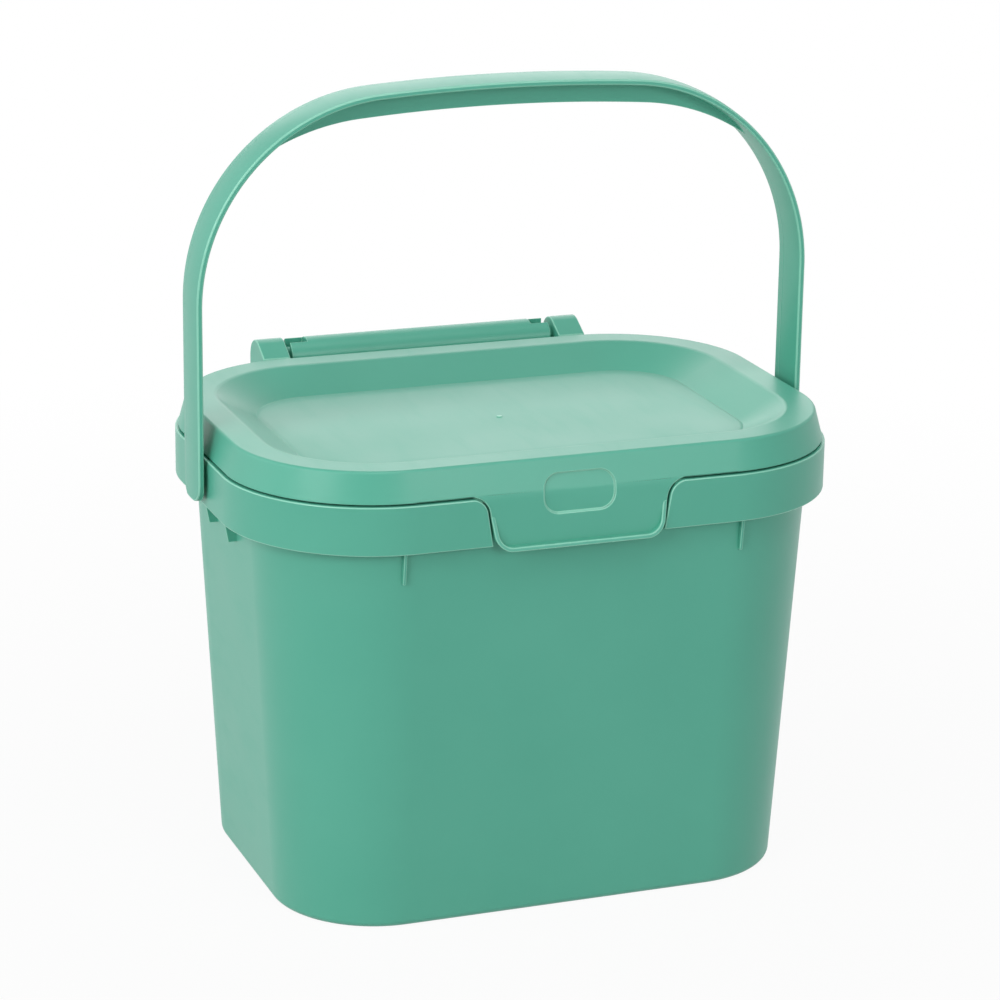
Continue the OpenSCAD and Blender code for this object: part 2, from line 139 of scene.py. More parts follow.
class LidSizes(bpy.types.PropertyGroup):
    """Sizes of the lid and its lift tab"""
    height: length("Height", "Height of the lid's rim above the collar", 12.9)
    thickness: length("Thickness", "Thickness of the lid", 2)
    seam: length("Seam", "Open seam between the lid and the collar", 0.7)
    inset: length("Inset", "How far the lid's side stands in from the collar", 0.9)
    lean: length("Lean", "How far the lid's side leans in up to its top", 3.5)
    edge_radius: length("Edge", "Rounding between the lid's side and its rim", 1.4)
    fold_radius: length("Fold", "Rounding where the lid's side turns down into the tab", 14)
    rim_width: length("Rim", "Width of the flat rim", 11.9)
    rim_radius: length("Rim rounding", "Rounding between the rim and the slope", 4)
    slope_width: length("Slope", "Width of the slope down to the pan", 16.5)
    pan_drop: length("Pan depth", "Depth of the pan below the rim", 8.5)
    pan_radius: length("Pan rounding", "Rounding between the slope and the pan", 0.7)
    valley: length("Valley", "Depth of the shallow valley round the pan", 1.1)
    valley_width: length("Valley width", "Width over which the pan rises out of the valley", 11)
    border: share("Border", "Share of the valley's width under the pan's steep border", 0.16)
    border_rise: share("Border rise", "Share of the valley's depth that the border climbs", 0.6)
    rib_drop: length("Rib depth", "Depth of the locating rib inside the mouth", 3.5)
    rib: length("Rib", "Thickness of the locating rib", 1.6)
    rib_gap: length("Rib gap", "Gap between the locating rib and the mouth", 1)
    gate_radius: length("Gate radius", "Radius of the gate mark in the pan", 1.2)
    gate_height: length("Gate height", "Height of the gate mark", 0.35)


class TabSizes(bpy.types.PropertyGroup):
    """Sizes of the lift tab at the front of the lid"""
    width: length("Width", "Width where the tab's sides would meet the seam", 75.4)
    taper: length("Taper", "How much narrower the tab is at its foot", 7.2)
    foot_radius: length("Foot corners", "Corner radius at the tab's foot", 7.5)
    root_radius: length("Root fillets", "Fillet where the tab leaves the seam", 7.6)
    thickness: length("Thickness", "Thickness of the tab", 1.6)
    lean: length("Lean", "How far the tab's face leans out down to its foot", 0.9)
    gap: length("Gap", "Gap between the tab and its notch in the collar", 0.8)
    bead_width: length("Bead width", "Width of the raised bead round the tab", 1.7)
    bead_out: length("Bead stand-out", "How far the bead stands out at the foot", 2.6)
    bead_height: length("Bead height", "Height over which the bead fades out", 14)
    oval_width: length("Oval width", "Width of the bare oval recess", 29.2)
    oval_height: length("Oval height", "Height of the bare oval recess", 15.4)
    oval_radius: length("Oval corners", "Corner radius of the oval recess", 6.2)
    oval_depth: length("Oval depth", "Depth of the oval recess", 0.9)
    oval_down: length("Oval drop", "Depth of its middle below the collar's top", 0.8)


class HingeSizes(bpy.types.PropertyGroup):
    """Sizes of the snap hinge at the rear"""
    knuckle_radius: length("Knuckle radius", "Radius of the knuckles' heads", 8)
    knuckle_width: length("Knuckle width", "Width of each knuckle", 11.8)
    knuckle_gap: length("Knuckle gap", "Distance between the two knuckles", 121)
    knuckle_wall: length("Knuckle wall", "Wall thickness of the hollow knuckles", 2.2)
    ramp_radius: length("Ramp reach", "Distance of the ramp's foot from the hinge axis", 12.34)
    ramp_turn: angle("Ramp turn", "Rise of the ramp's foot about the hinge axis", 12)
    barrel_radius: length("Barrel radius", "Radius of the barrel on the lid", 7.75)
    barrel_gap: length("Barrel gap", "Gap between the barrel's ends and the knuckles", 2.2)
    barrel_wall: length("Barrel wall", "Wall thickness of the hollow barrel", 2.2)
    pin_radius: length("Pin radius", "Radius of the hinge pins", 4)
    pin_clearance: length("Pin clearance", "Radial clearance of the pins in their bores", 0.05)
    pin_length: length("Pin length", "Length of a pin inside the barrel", 6.8)
    tip_clearance: length("Tip clearance", "Clearance beyond the tip of a pin", 0.9)
    slot_width: length("Slot width", "Width of the slot above a pin", 7.4)
    web: length("Web", "Thickness of the web that carries the barrel", 3.2)


class HandleSizes(bpy.types.PropertyGroup):
    """Sizes of the bail handle"""
    gap: length("Gap", "Gap between the limbs and the collar", 1.6)
    rise: length("Rise", "Height of the handle's top above its pivots", 151.8)
    band_width: length("Band width", "Width of the band", 20.4)
    band: length("Band", "Thickness of the band", 2.2)
    edge: length("Edge rounding", "Rounding along the band's edges", 0.6)
    swell_out: length("Outer swell", "How far the outer face swells in the middle", 0.7)
    swell_in: length("Inner swell", "How far the inner face swells in the middle", 0.5)
    shoulder_radius: length("Shoulder radius", "Radius of the shoulders", 80.9)
    crown_radius: length("Crown radius", "Radius of the gently arched crown", 756)
    limb_end: length("Limb end", "Length of the limbs below the pivots", 8.5)
    limb_end_radius: length("Limb corners", "Corner radius at the limbs' lower ends", 7)
    rib_depth: length("Rib depth", "Depth of the rib under the grip", 8.3)
    rib: length("Rib", "Thickness of the rib under the grip", 2.4)
    rib_half: length("Rib half width", "Half width over which the rib keeps its depth", 60)
    rib_end_radius: length("Rib run-out", "Radius of its lower edge along the shoulders", 93)
    pin_radius: length("Pin radius", "Radius of the pivot pins", 4)
    head_lip: length("Head lip", "How far the pins' heads stand out round them", 1)
    head: length("Head", "Thickness of the pins' heads", 1.8)
    head_play: length("Head play", "Side play of the heads behind the skirt", 0.4)


class FinishSizes(bpy.types.PropertyGroup):
    """How finely the mouldings are shaped and their edges rounded"""
    corner_steps: count("Corner steps", "Facets round each corner", 28, 8, 64)
    arc_steps: count("Arc steps", "Facets round each small arc", 10, 4, 32)
    edge_steps: count("Edge steps", "Facets across each rounded edge", 3, 1, 6)
    rod_steps: count("Rod steps", "Facets round each pin and each bore", 64, 16, 128)
    swell_cuts: count("Swell cuts", "Cuts across each swollen face of the handle", 11, 3, 31)
    edge: length("Edge rounding", "Rounding along the outer edges", 0.45)
    fine_edge: length("Fine edge rounding", "Rounding along small features", 0.25)
    crease: angle("Crease", "Edges that turn more sharply are rounded", 30)


class PlasticLook(bpy.types.PropertyGroup):
    """Colours and surface of the moulded polypropylene"""
    green: colour("Plastic", "Colour of the plastic", (0.083, 0.415, 0.296))
    # Paler green painted on every rounded edge and all over the gate mark as a highlight; the scuffs also
    # turn towards it as wear
    highlight_and_scuff: colour("Rubbed edge", "Colour along thin and rubbed edges", (0.24, 0.62, 0.47))
    clouds: length("Clouds", "Size of the clouds in the colour", 60)
    mottle: share("Mottle", "Strength of the cloudy colour variation", 0.03)
    roughness: share("Roughness", "Mean roughness of the skin", 0.38)
    # How much less rough the paler painted-highlight copy of each plastic is
    highlight_gloss: share("Rubbed gloss", "How much less rough the rubbed edges are", 0.08)
    streaks: length("Flow streaks", "Size of the flow streaks before they are drawn out", 2.5)
    streak_strength: share("Streak strength", "How far the streaks turn to the paler green", 0.15)
    scuffs: length("Scuffs", "Size of the scuffs before they are drawn out", 5)
    scuff_strength: share("Scuff strength", "How far the scuffs turn to the rubbed colour", 0.06)
    grain: length("Grain", "Size of the fine moulded grain", 0.7)
    grain_depth: length("Grain depth", "Depth of the fine moulded grain", 0.006)
    parting: length("Parting line", "Place of the handle's parting line behind its middle", 5.3)
    parting_width: length("Parting width", "Half width of the parting line", 0.5)
    parting_height: length("Parting height", "Height of the parting line", 0.1)


class StageLook(bpy.types.PropertyGroup):
    """Floor, lights and camera"""
    floor: colour("Floor", "Colour of the floor", (0.6, 0.6, 0.6))
    glow: share("Floor glow", "Share of the floor that stays white in its shadows", 0.94)
    surround: FloatProperty(
        name="Surround", description="Strength of the light all round", default=0.28, min=0, max=2)
    overhead: watts("Overhead light", "Power of the light high in front", 10.4)
    front: watts("Front light", "Power of the small light in front, at the right", 7)
    front_left: watts("Front left light", "Power of the light at the left, in front", 16.5)
    rear_left: watts("Rear left light", "Power of the light at the left, behind", 5.6)
    back: watts("Back light", "Power of the light above and behind", 6.6)
    camera: FloatVectorProperty(
        name="Camera", description="Place of the camera", default=(-0.48905, -1.28412, 0.57569),
        subtype="TRANSLATION", size=3)
    azimuth: angle("Azimuth", "Turn of the view from straight ahead", 20.881)
    elevation: angle("Elevation", "Angle at which the camera looks down", 17.316)
    roll: angle("Roll", "Roll of the camera", 0.862)
    lens: FloatProperty(
        name="Lens", description="Focal length in millimetres on a 36 mm sensor", default=127.4, min=10)


def sizes(group):
    """The scene's settings of one group"""
    return getattr(bpy.context.scene, "caddy_" + group)


# ---- Shared dimensions ----

def base_centre():
    """Where the tub's corners are centred, in the right rear quarter"""
    tub = sizes("tub")
    return Vector((tub.base_width / 2 - tub.base_radius, tub.base_depth / 2 - tub.base_radius))


def collar_centre():
    """Where the collar's and the lid's corners are centred, in the right rear quarter"""
    radius = sizes("tub").collar_radius
    return Vector((COLLAR_HALF_WIDTH - radius, COLLAR_HALF_DEPTH - radius))


def wall_radius(z):
    """Distance of the tub's outer wall from its corner centres at height z"""
    tub = sizes("tub")
    return tub.base_radius + math.tan(tub.draft) * z


def side_slope():
    """How far the lid's side leans in for each unit of height"""
    return sizes("lid").lean / sizes("lid").height


def lid_radius(z):
    """Distance of the lid's outer side from the collar's corner centres at height z"""
    tub = sizes("tub")
    return tub.collar_radius - sizes("lid").inset - side_slope() * (z - tub.height)


def lid_top():
    """Height of the lid's rim"""
    return sizes("tub").height + sizes("lid").height


def lid_foot():
    """Height of the lid's lower edge"""
    return sizes("tub").height + sizes("lid").seam


def front_face(z):
    """Y of the lid's front face at height z: its leaning side, and the tab's face below that"""
    height = sizes("tub").height
    slope = side_slope() if z > height else sizes("tab").lean / (height - TAB_FOOT)
    return sizes("lid").inset - COLLAR_HALF_DEPTH + slope * (z - height)


def barrel_length():
    """Length of the lid's barrel between the two knuckles"""
    return sizes("hinge").knuckle_gap - 2 * sizes("hinge").barrel_gap


# ---- Shaping ----

def flat_face(bm, points, rounded=None):
    """A flat face through the points, with the corners of the given indices rounded"""
    corners = [bm.verts.new(point) for point in points]
    face = bm.faces.new(corners)
    turns = {index: math.pi - loop_angle(points, index) for index in (rounded or {})}
    for index, radius in (rounded or {}).items():
        bmesh.ops.bevel(bm, geom=[corners[index]], offset=radius * math.tan(turns[index] / 2),
                        affect="VERTICES", segments=sizes("finish").arc_steps, profile=0.5, material=-1)
    return face


def loop_angle(points, index):
    """Angle between the two sides that meet at a point of an outline"""
    here = Vector(points[index])
    before = Vector(points[index - 1]) - here
    after = Vector(points[(index + 1) % len(points)]) - here
    return before.angle(after)


def pull(bm, faces, vector):
    """Pulls faces along a vector into a solid, and returns the points that moved"""
    pulled = bmesh.ops.extrude_face_region(bm, geom=faces)["geom"]
    moved = [part for part in pulled if isinstance(part, bmesh.types.BMVert)]
    bmesh.ops.translate(bm, verts=moved, vec=vector)
    return moved


def prism(points, rounded, vector):
    """A solid with a flat outline, in a mesh of its own"""
    bm = bmesh.new()
    flat_face(bm, points, rounded)
    pull(bm, bm.faces[:], vector)
    return bm


def mirrored(right):
    """The whole of a front outline of (x, z), from its right half"""
    return right + [(-x, z) for x, z in reversed(right)]


def slab(name, x, width, low, high, rounded=None):
    """A solid that is a rectangle between two corners (y, z) from the side, carried across X"""
    outline = [(x, low[0], low[1]), (x, high[0], low[1]), (x, high[0], high[1]), (x, low[0], high[1])]
    return solid(name, prism(outline, rounded, (width, 0, 0)))


def rod(bm, radius, start, end):
    """A closed cylinder between two points"""
    along = end - start
    turn = along.to_track_quat("Z", "Y").to_matrix().to_4x4()
    bmesh.ops.create_cone(bm, cap_ends=True, segments=sizes("finish").rod_steps,
                          radius1=radius, radius2=radius, depth=along.length,
                          matrix=Matrix.Translation((start + end) / 2) @ turn)


def rod_across(bm, radius, axis, start, end):
    """A closed cylinder along X through a point of its axis, from one place on X to another"""
    rod(bm, radius, axis + Vector((start, 0, 0)), axis + Vector((end, 0, 0)))


def rounded_rectangle(bm, centre, radius, z):
    """Edges of a rounded rectangle at height z"""
    edges_before = set(bm.edges)
    faces_before = set(bm.faces)
    half = centre + Vector((radius, radius))
    corners = [bm.verts.new((half.x * x, half.y * y, z)) for x, y in ((-1, -1), (1, -1), (1, 1), (-1, 1))]
    bm.faces.new(corners)
    bmesh.ops.bevel(bm, geom=corners, offset=radius, affect="VERTICES",
                    segments=sizes("finish").corner_steps, profile=0.5, material=-1)
    flat = [face for face in bm.faces if face not in faces_before]
    bmesh.ops.delete(bm, geom=flat, context="FACES_ONLY")
    return [edge for edge in bm.edges if edge not in edges_before]


def skin(bm, levels):
    """Skins a rounded rectangle through levels of (corner centre, radius, z), and returns their edges"""
    loops = [rounded_rectangle(bm, *levels[0])]
    for (centre, radius, _), (next_centre, next_radius, next_z) in zip(levels, levels[1:]):
        pulled = bmesh.ops.extrude_edge_only(bm, edges=loops[-1])["geom"]
        moved = {part for part in pulled if isinstance(part, bmesh.types.BMVert)}
        for vert in moved:
            quarter = Vector((math.copysign(1, vert.co.x), math.copysign(1, vert.co.y)))
            outward = vert.co.xy - quarter * centre
            vert.co = (quarter * next_centre + outward * next_radius / radius).to_3d()
            vert.co.z = next_z
        loops.append([edge for edge in pulled if isinstance(edge, bmesh.types.BMEdge)
                      and moved.issuperset(edge.verts)])
    return loops


def close_ends(bm, loops):
    """Closes the first and the last level of a skin with flat faces"""
    for loop in (loops[0], loops[-1]):
        bmesh.ops.contextual_create(bm, geom=loop)


def round_edges(bm, edges, radius):
    """Rounds a run of edges to a radius, whatever the angle between their faces"""
    turn = edges[0].calc_face_angle()
    bmesh.ops.bevel(bm, geom=edges, offset=radius * math.tan(turn / 2), affect="EDGES",
                    segments=sizes("finish").arc_steps, profile=0.5, material=-1)


def add_object(name, data):
    """A new object in the scene"""
    made = bpy.data.objects.new(name, data)
    bpy.context.scene.collection.objects.link(made)
    return made


def add_mesh(name, bm):
    """A new mesh object in the scene, shaped as the bmesh is"""
    mesh = bpy.data.meshes.new(name)
    bm.to_mesh(mesh)
    bm.free()
    return add_object(name, mesh)


def solid(name, bm):
    """A closed mesh object with its faces outwards"""
    bmesh.ops.remove_doubles(bm, verts=bm.verts, dist=WELD)
    bmesh.ops.recalc_face_normals(bm, faces=bm.faces)
    return add_mesh(name, bm)


def combine(piece, other, operation="DIFFERENCE"):
    """Cuts another solid out of a piece, or joins it to the piece, and removes the other"""
    step = piece.modifiers.new("Combine", "BOOLEAN")
    step.operation = operation
    step.solver = "EXACT"
    step.object = other
    evaluated = piece.evaluated_get(bpy.context.evaluated_depsgraph_get())
    piece.data = bpy.data.meshes.new_from_object(evaluated)
    piece.modifiers.remove(step)
    bpy.data.objects.remove(other)


def corner_numbers(part):
    """The numbers of an edge's or a face's points, lowest first"""
    return sorted(vert.index for vert in part.verts)


def sort_by_place(bm):
    """Sorts points, edges and faces by place, because a cut leaves them in no fixed order"""
    for parts, key in ((bm.verts, lambda vert: tuple(vert.co)),
                       (bm.edges, corner_numbers), (bm.faces, corner_numbers)):
        ranks = {part: rank for rank, part in enumerate(sorted(parts, key=key))}
        parts.sort(key=ranks.get)
        parts.index_update()


def merge_close(piece):
    """Merges the points that a cut leaves too close together to round the edges between them"""
    bm = bmesh.new()
    bm.from_mesh(piece.data)
    sort_by_place(bm)
    bmesh.ops.remove_doubles(bm, verts=bm.verts, dist=CUT_WELD)
    bmesh.ops.dissolve_degenerate(bm, edges=bm.edges, dist=TINY)
    bm.to_mesh(piece.data)
    bm.free()


def dress(piece, body, edge=None):
    """Rounds a piece's edges, gives it its body's plastic and lets it ride on its body"""
    finish = sizes("finish")
    merge_close(piece)
    for polygon in piece.data.polygons:
        polygon.use_smooth = True
    piece.data.materials.clear()
    # Each piece's second plastic is the paler green of a painted highlight
    for plastic_name in (body + "_plastic", body + "_plastic_rubbed"):
        piece.data.materials.append(bpy.data.materials[plastic_name])
    rounding = piece.modifiers.new("Rounded edges", "BEVEL")
    rounding.width = edge or finish.edge
    rounding.segments = finish.edge_steps
    rounding.limit_method = "ANGLE"
    rounding.angle_limit = finish.crease
    # The rounded edges' faces take that second plastic: a painted highlight along every edge
    rounding.material = HIGHLIGHT_SLOT
    rounding.use_clamp_overlap = False
    rounding.harden_normals = True
    piece.modifiers.new("Even shading", "WEIGHTED_NORMAL").keep_sharp = True
    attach(piece, body)
    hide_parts(body)


# ---- Plastic ----

# Where in a noise's values the clouds, the streaks, the scuffs and the worn skin begin and end
CLOUD_RANGE = (0.3, 0.7)
STREAK_RANGE = (0.4, 0.75)
SCUFF_RANGE = (0.7, 0.85)
WORN_RANGE = (0.5, 0.78)

CLOUDY_ROUGHNESS = (-0.05, 0.03)  # what the clouds take from the roughness and add to it
WORN_ROUGHNESS = 0.04  # what the most worn skin adds to the roughness
PALER_SHARE = 0.35  # share of the mottle's strength that goes towards white
SCUFF_STRETCH = (1, 6, 2)
NOISE_ROUGHNESS = 0.55
POLYPROPYLENE_IOR = 1.49


def feed(tree, node, inputs):
    """Gives each named socket of a node a plain value, or a link from another socket"""
    for name, value in inputs.items():
        if isinstance(value, bpy.types.NodeSocket):
            tree.links.new(value, node.inputs[name])
        else:
            node.inputs[name].default_value = value


def add_node(tree, kind, inputs=None, **settings):
    """A shader node with its settings and inputs"""
    made = tree.nodes.new("ShaderNode" + kind)
    for name, value in settings.items():
        setattr(made, name, value)
    feed(tree, made, inputs or {})
    return made


def calculate(tree, operation, *values):
    """The result of a Math node on sockets and numbers"""
    return add_node(tree, "Math", dict(enumerate(values)), operation=operation).outputs[0]


def noise(tree, place, size, detail, stretch=(1, 1, 1)):
    """Cloudy noise whose features are about `size` across, drawn out by `stretch`"""
    mapping = add_node(tree, "Mapping", {"Vector": place, "Scale": [1 / (size * s) for s in stretch]})
    return add_node(tree, "TexNoise", {"Vector": mapping.outputs["Vector"], "Scale": 1, "Detail": detail,
                                       "Roughness": NOISE_ROUGHNESS}).outputs["Fac"]


def spread(tree, value, source, target):
    """Spreads a value in one range of (low, high) over another"""
    return add_node(tree, "MapRange", {"Value": value, "From Min": source[0], "From Max": source[1],
                                       "To Min": target[0], "To Max": target[1]}).outputs["Result"]


def blend_colour(tree, factor, first, second):
    """A colour between two others"""
    # A Mix node's inputs share their names, so its two colours go by number
    return add_node(tree, "Mix", {0: factor, 6: first, 7: second}, data_type="RGBA").outputs[2]


def bump(tree, height, depth, below=None):
    """A bump of the given depth, laid over another one"""
    under = {"Normal": below} if below else {}
    return add_node(tree, "Bump", {"Height": height, "Strength": 1, "Distance": depth,
                                   **under}).outputs["Normal"]


def parting_line(tree, place, below):
    """A fine raised line along the handle, where the halves of its mould met"""
    look = sizes("plastic")
    across = add_node(tree, "SeparateXYZ", {0: place}).outputs["Y"]
    near = calculate(tree, "ABSOLUTE", calculate(tree, "SUBTRACT", across, look.parting))
    line = spread(tree, near, (0, look.parting_width), (1, 0))
    return bump(tree, line, look.parting_height, below)


def plastic(name, tint, roughness, flow, parted):
    """Green polypropylene: cloudy colour, faint flow streaks, fine scuffs and a satin grain"""
    look = sizes("plastic")
    material = bpy.data.materials.new(name)
    material.use_nodes = True
    tree = material.node_tree
    place = add_node(tree, "TexCoord").outputs["Object"]
    clouds = noise(tree, place, look.clouds, detail=4)
    streaks = noise(tree, place, look.streaks, detail=3, stretch=flow)
    grain = noise(tree, place, look.grain, detail=2)
    scuffs = noise(tree, place, look.scuffs, detail=8, stretch=SCUFF_STRETCH)
    darker = (*[channel * (1 - look.mottle) for channel in tint], 1)
    paler = (*[channel + look.mottle * (1 - channel) * PALER_SHARE for channel in tint], 1)
    clouded = blend_colour(tree, spread(tree, clouds, CLOUD_RANGE, (0, 1)), darker, paler)
    streaky = spread(tree, streaks, STREAK_RANGE, (0, look.streak_strength))
    streaked = blend_colour(tree, streaky, clouded, paler)
    scuffy = spread(tree, scuffs, SCUFF_RANGE, (0, look.scuff_strength))
    uneven = spread(tree, clouds, CLOUD_RANGE, [roughness + change for change in CLOUDY_ROUGHNESS])
    worn = spread(tree, scuffs, WORN_RANGE, (0, WORN_ROUGHNESS))
    relief = bump(tree, streaks, look.grain_depth, bump(tree, grain, look.grain_depth))
    if parted:
        relief = parting_line(tree, place, relief)
    feed(tree, tree.nodes["Principled BSDF"], {
        "Base Color": blend_colour(tree, scuffy, streaked, (*look.highlight_and_scuff, 1)),
        "Roughness": calculate(tree, "ADD", uneven, worn),
        "Normal": relief,
        "IOR": POLYPROPYLENE_IOR})


class CADDY_OT_plastics(bpy.types.Operator):
    """Mixes the plastics of the tub, the lid and the handle, each with a paler, glossier copy that paints
    highlights on its rounded edges
    """
    bl_idname = "caddy.plastics"
    bl_label = "Plastics"
    bl_options = {"REGISTER", "UNDO"}

    def execute(self, context):
        look = sizes("plastic")
        flows = {"tub": (1, 1, 12), "lid": (8, 1, 8), "handle": (1, 0.25, 10)}
        for body, flow in flows.items():
            name, parted = body + "_plastic", body == "handle"
            plastic(name, look.green, look.roughness, flow, parted)
            # Each plastic's paler, less rough copy paints highlights on rounded edges and on the gate mark
            plastic(name + "_rubbed", look.highlight_and_scuff, look.roughness - look.highlight_gloss, flow, parted)
        return {"FINISHED"}


# ---- Tub ----

class CADDY_OT_tub(bpy.types.Operator):
    """Makes the tub and its collar in one skin, with the notch for the lift tab"""
    bl_idname = "caddy.tub"
    bl_label = "Tub and collar"
    bl_options = {"REGISTER", "UNDO"}

    def execute(self, context):
        tub = sizes("tub")
        base, collar = base_centre(), collar_centre()
        top, flange, skirt_foot = tub.height, tub.height - tub.skirt, tub.height - tub.skirt_height
        inside = tub.collar_radius - tub.skirt
        bm = bmesh.new()
        loops = skin(bm, [
            (base, wall_radius(0), 0),
            (base, wall_radius(flange), flange),
            (collar, inside, flange),
            (collar, inside, skirt_foot),
            (collar, tub.collar_radius, skirt_foot),
            (collar, tub.collar_radius, top),
            (base, wall_radius(top) - tub.wall, top),
            (base, wall_radius(tub.floor) - tub.wall, tub.floor)])
        close_ends(bm, loops)
        round_edges(bm, loops[0], tub.foot_radius)
        round_edges(bm, loops[-1], tub.floor_radius)
        piece = solid("tub_shell", bm)
        combine(piece, self.notch())
        for side in (-1, 1):
            combine(piece, self.pin_hole(side))
        dress(piece, "tub")
        return {"FINISHED"}

    def notch(self):
        """Cutter that follows the lift tab at a gap, and stops just short of the tub's wall"""
        tub, tab = sizes("tub"), sizes("tab")
        skirt_foot = tub.height - tub.skirt_height - OVER
        slant = tab.taper / 2 / (lid_foot() - TAB_FOOT)
        level = tub.height - sizes("lid").seam + tab.gap
        root = tab.width / 2 + tab.gap
        wide = root + tab.root_radius + OVER
        outline = mirrored([(root - slant * (level - skirt_foot), skirt_foot), (root, level),
                            (wide, level), (wide, tub.height + OVER)])
        front = -COLLAR_HALF_DEPTH - OVER
        back = -(base_centre().y + wall_radius(tub.height)) - tab.gap
        radius = tab.root_radius - tab.gap
        return solid("notch", prism([(x, front, z) for x, z in outline], {1: radius, 6: radius},
                                    (0, back - front, 0)))

    def pin_hole(self, side):
        """Cutter for the hole in which one of the handle's pins turns"""
        bm = bmesh.new()
        inner = COLLAR_HALF_WIDTH - sizes("tub").skirt - OVER
        rod_across(bm, sizes("tub").pin_hole, PIVOT, side * inner, side * (COLLAR_HALF_WIDTH + OVER))
        return solid("pin_hole", bm)


class CADDY_OT_gussets(bpy.types.Operator):
    """Makes the thin gussets under the collar: a pair at each side and one in front"""
    bl_idname = "caddy.gussets"
    bl_label = "Gussets"
    bl_options = {"REGISTER", "UNDO"}

    def execute(self, context):
        gusset = sizes("gusset")
        base = base_centre()
        bm = bmesh.new()
        for side in (0, math.pi):
            self.pair(bm, base.x, COLLAR_HALF_WIDTH, gusset.side_depth, gusset.side_meet,
                      gusset.side_spacing, side)
        self.pair(bm, base.y, COLLAR_HALF_DEPTH, gusset.front_depth, gusset.front_meet,
                  gusset.front_spacing, -math.pi / 2)
        dress(solid("tub_gussets", bm), "tub", sizes("finish").fine_edge)
        return {"FINISHED"}

    def pair(self, bm, centre, collar_half, depth, meet, spacing, turn):
        """Two gussets on the wall that faces +X, turned about Z to their own wall"""
        tub, gusset = sizes("tub"), sizes("gusset")
        foot = tub.height - gusset.height
        wall = centre + wall_radius(foot)
        skirt = collar_half - tub.skirt
        in_wall, in_skirt = wall - tub.wall / 2, skirt + tub.skirt / 2
        in_flange = tub.height - tub.skirt / 2
        outline = [
            (in_wall, foot),
            (wall + depth, foot),
            (skirt, tub.height - meet),
            (in_skirt, tub.height - meet),
            (in_skirt, in_flange),
            (in_wall, in_flange)]
        for side in (-1, 1):
            near = side * spacing / 2 - gusset.thickness / 2
            face = flat_face(bm, [(x, near, z) for x, z in outline])
            whole = pull(bm, [face], (0, gusset.thickness, 0)) + face.verts[:]
            bmesh.ops.rotate(bm, verts=whole, cent=(0, 0, 0), matrix=Matrix.Rotation(turn, 3, "Z"))


class CADDY_OT_knuckles(bpy.types.Operator):
    """Makes the two hollow hinge knuckles on the collar, with the stub pins they carry"""
    bl_idname = "caddy.knuckles"
    bl_label = "Hinge knuckles"
    bl_options = {"REGISTER", "UNDO"}

    # A knuckle's faces whose normals lie below these are open: the lower ones, and the one in front
    LOOKS_DOWN = -0.3
    LOOKS_FORWARD = -0.999

    def execute(self, context):
        hinge = sizes("hinge")
        bm = bmesh.new()
        middle = (hinge.knuckle_gap + hinge.knuckle_width) / 2
        for side in (-1, 1):
            self.knuckle(bm, side * middle - hinge.knuckle_width / 2)
        piece = solid("hinge_knuckles", bm)
        walls = piece.modifiers.new("Walls", "SOLIDIFY")
        walls.thickness = hinge.knuckle_wall
        walls.use_even_offset = True
        dress(piece, "tub")
        pins = bmesh.new()
        tip = barrel_length() / 2 - hinge.pin_length
        root = (hinge.knuckle_gap + hinge.knuckle_wall) / 2
        for side in (-1, 1):
            rod_across(pins, hinge.pin_radius, HINGE, side * tip, side * root)
        dress(solid("hinge_pins", pins), "tub")
        return {"FINISHED"}

    def knuckle(self, bm, near):
        """Side view of a knuckle carried across X, left open where its hollow shows from below"""
        tub, hinge = sizes("tub"), sizes("hinge")
        radius = hinge.knuckle_radius
        head_turn = hinge.ramp_turn + math.acos(radius / hinge.ramp_radius)
        brow = radius * math.tan((math.pi / 2 - head_turn) / 2)
        foot = Vector((-math.cos(hinge.ramp_turn), math.sin(hinge.ramp_turn))) * hinge.ramp_radius
        in_skirt, in_flange = COLLAR_HALF_DEPTH - tub.skirt / 2, tub.height - tub.skirt / 2
        outline = [
            (HINGE.y + foot.x, HINGE.z + foot.y),
            (HINGE.y - brow, HINGE.z + radius),
            (HINGE.y + radius, HINGE.z + radius),
            (HINGE.y + radius, tub.height),
            (in_skirt, tub.height - tub.skirt_height),
            (in_skirt, in_flange),
            (COLLAR_HALF_DEPTH, in_flange)]
        faces_before = set(bm.faces)
        flat_face(bm, [(near, y, z) for y, z in outline], {1: radius, 2: radius})
        side_face = [face for face in bm.faces if face not in faces_before]
        pull(bm, side_face, (hinge.knuckle_width, 0, 0))
        bmesh.ops.recalc_face_normals(bm, faces=bm.faces)
        open_faces = [face for face in bm.faces
                      if face.normal.z < self.LOOKS_DOWN or face.normal.y < self.LOOKS_FORWARD]
        bmesh.ops.delete(bm, geom=open_faces, context="FACES")


# ---- Lid ----

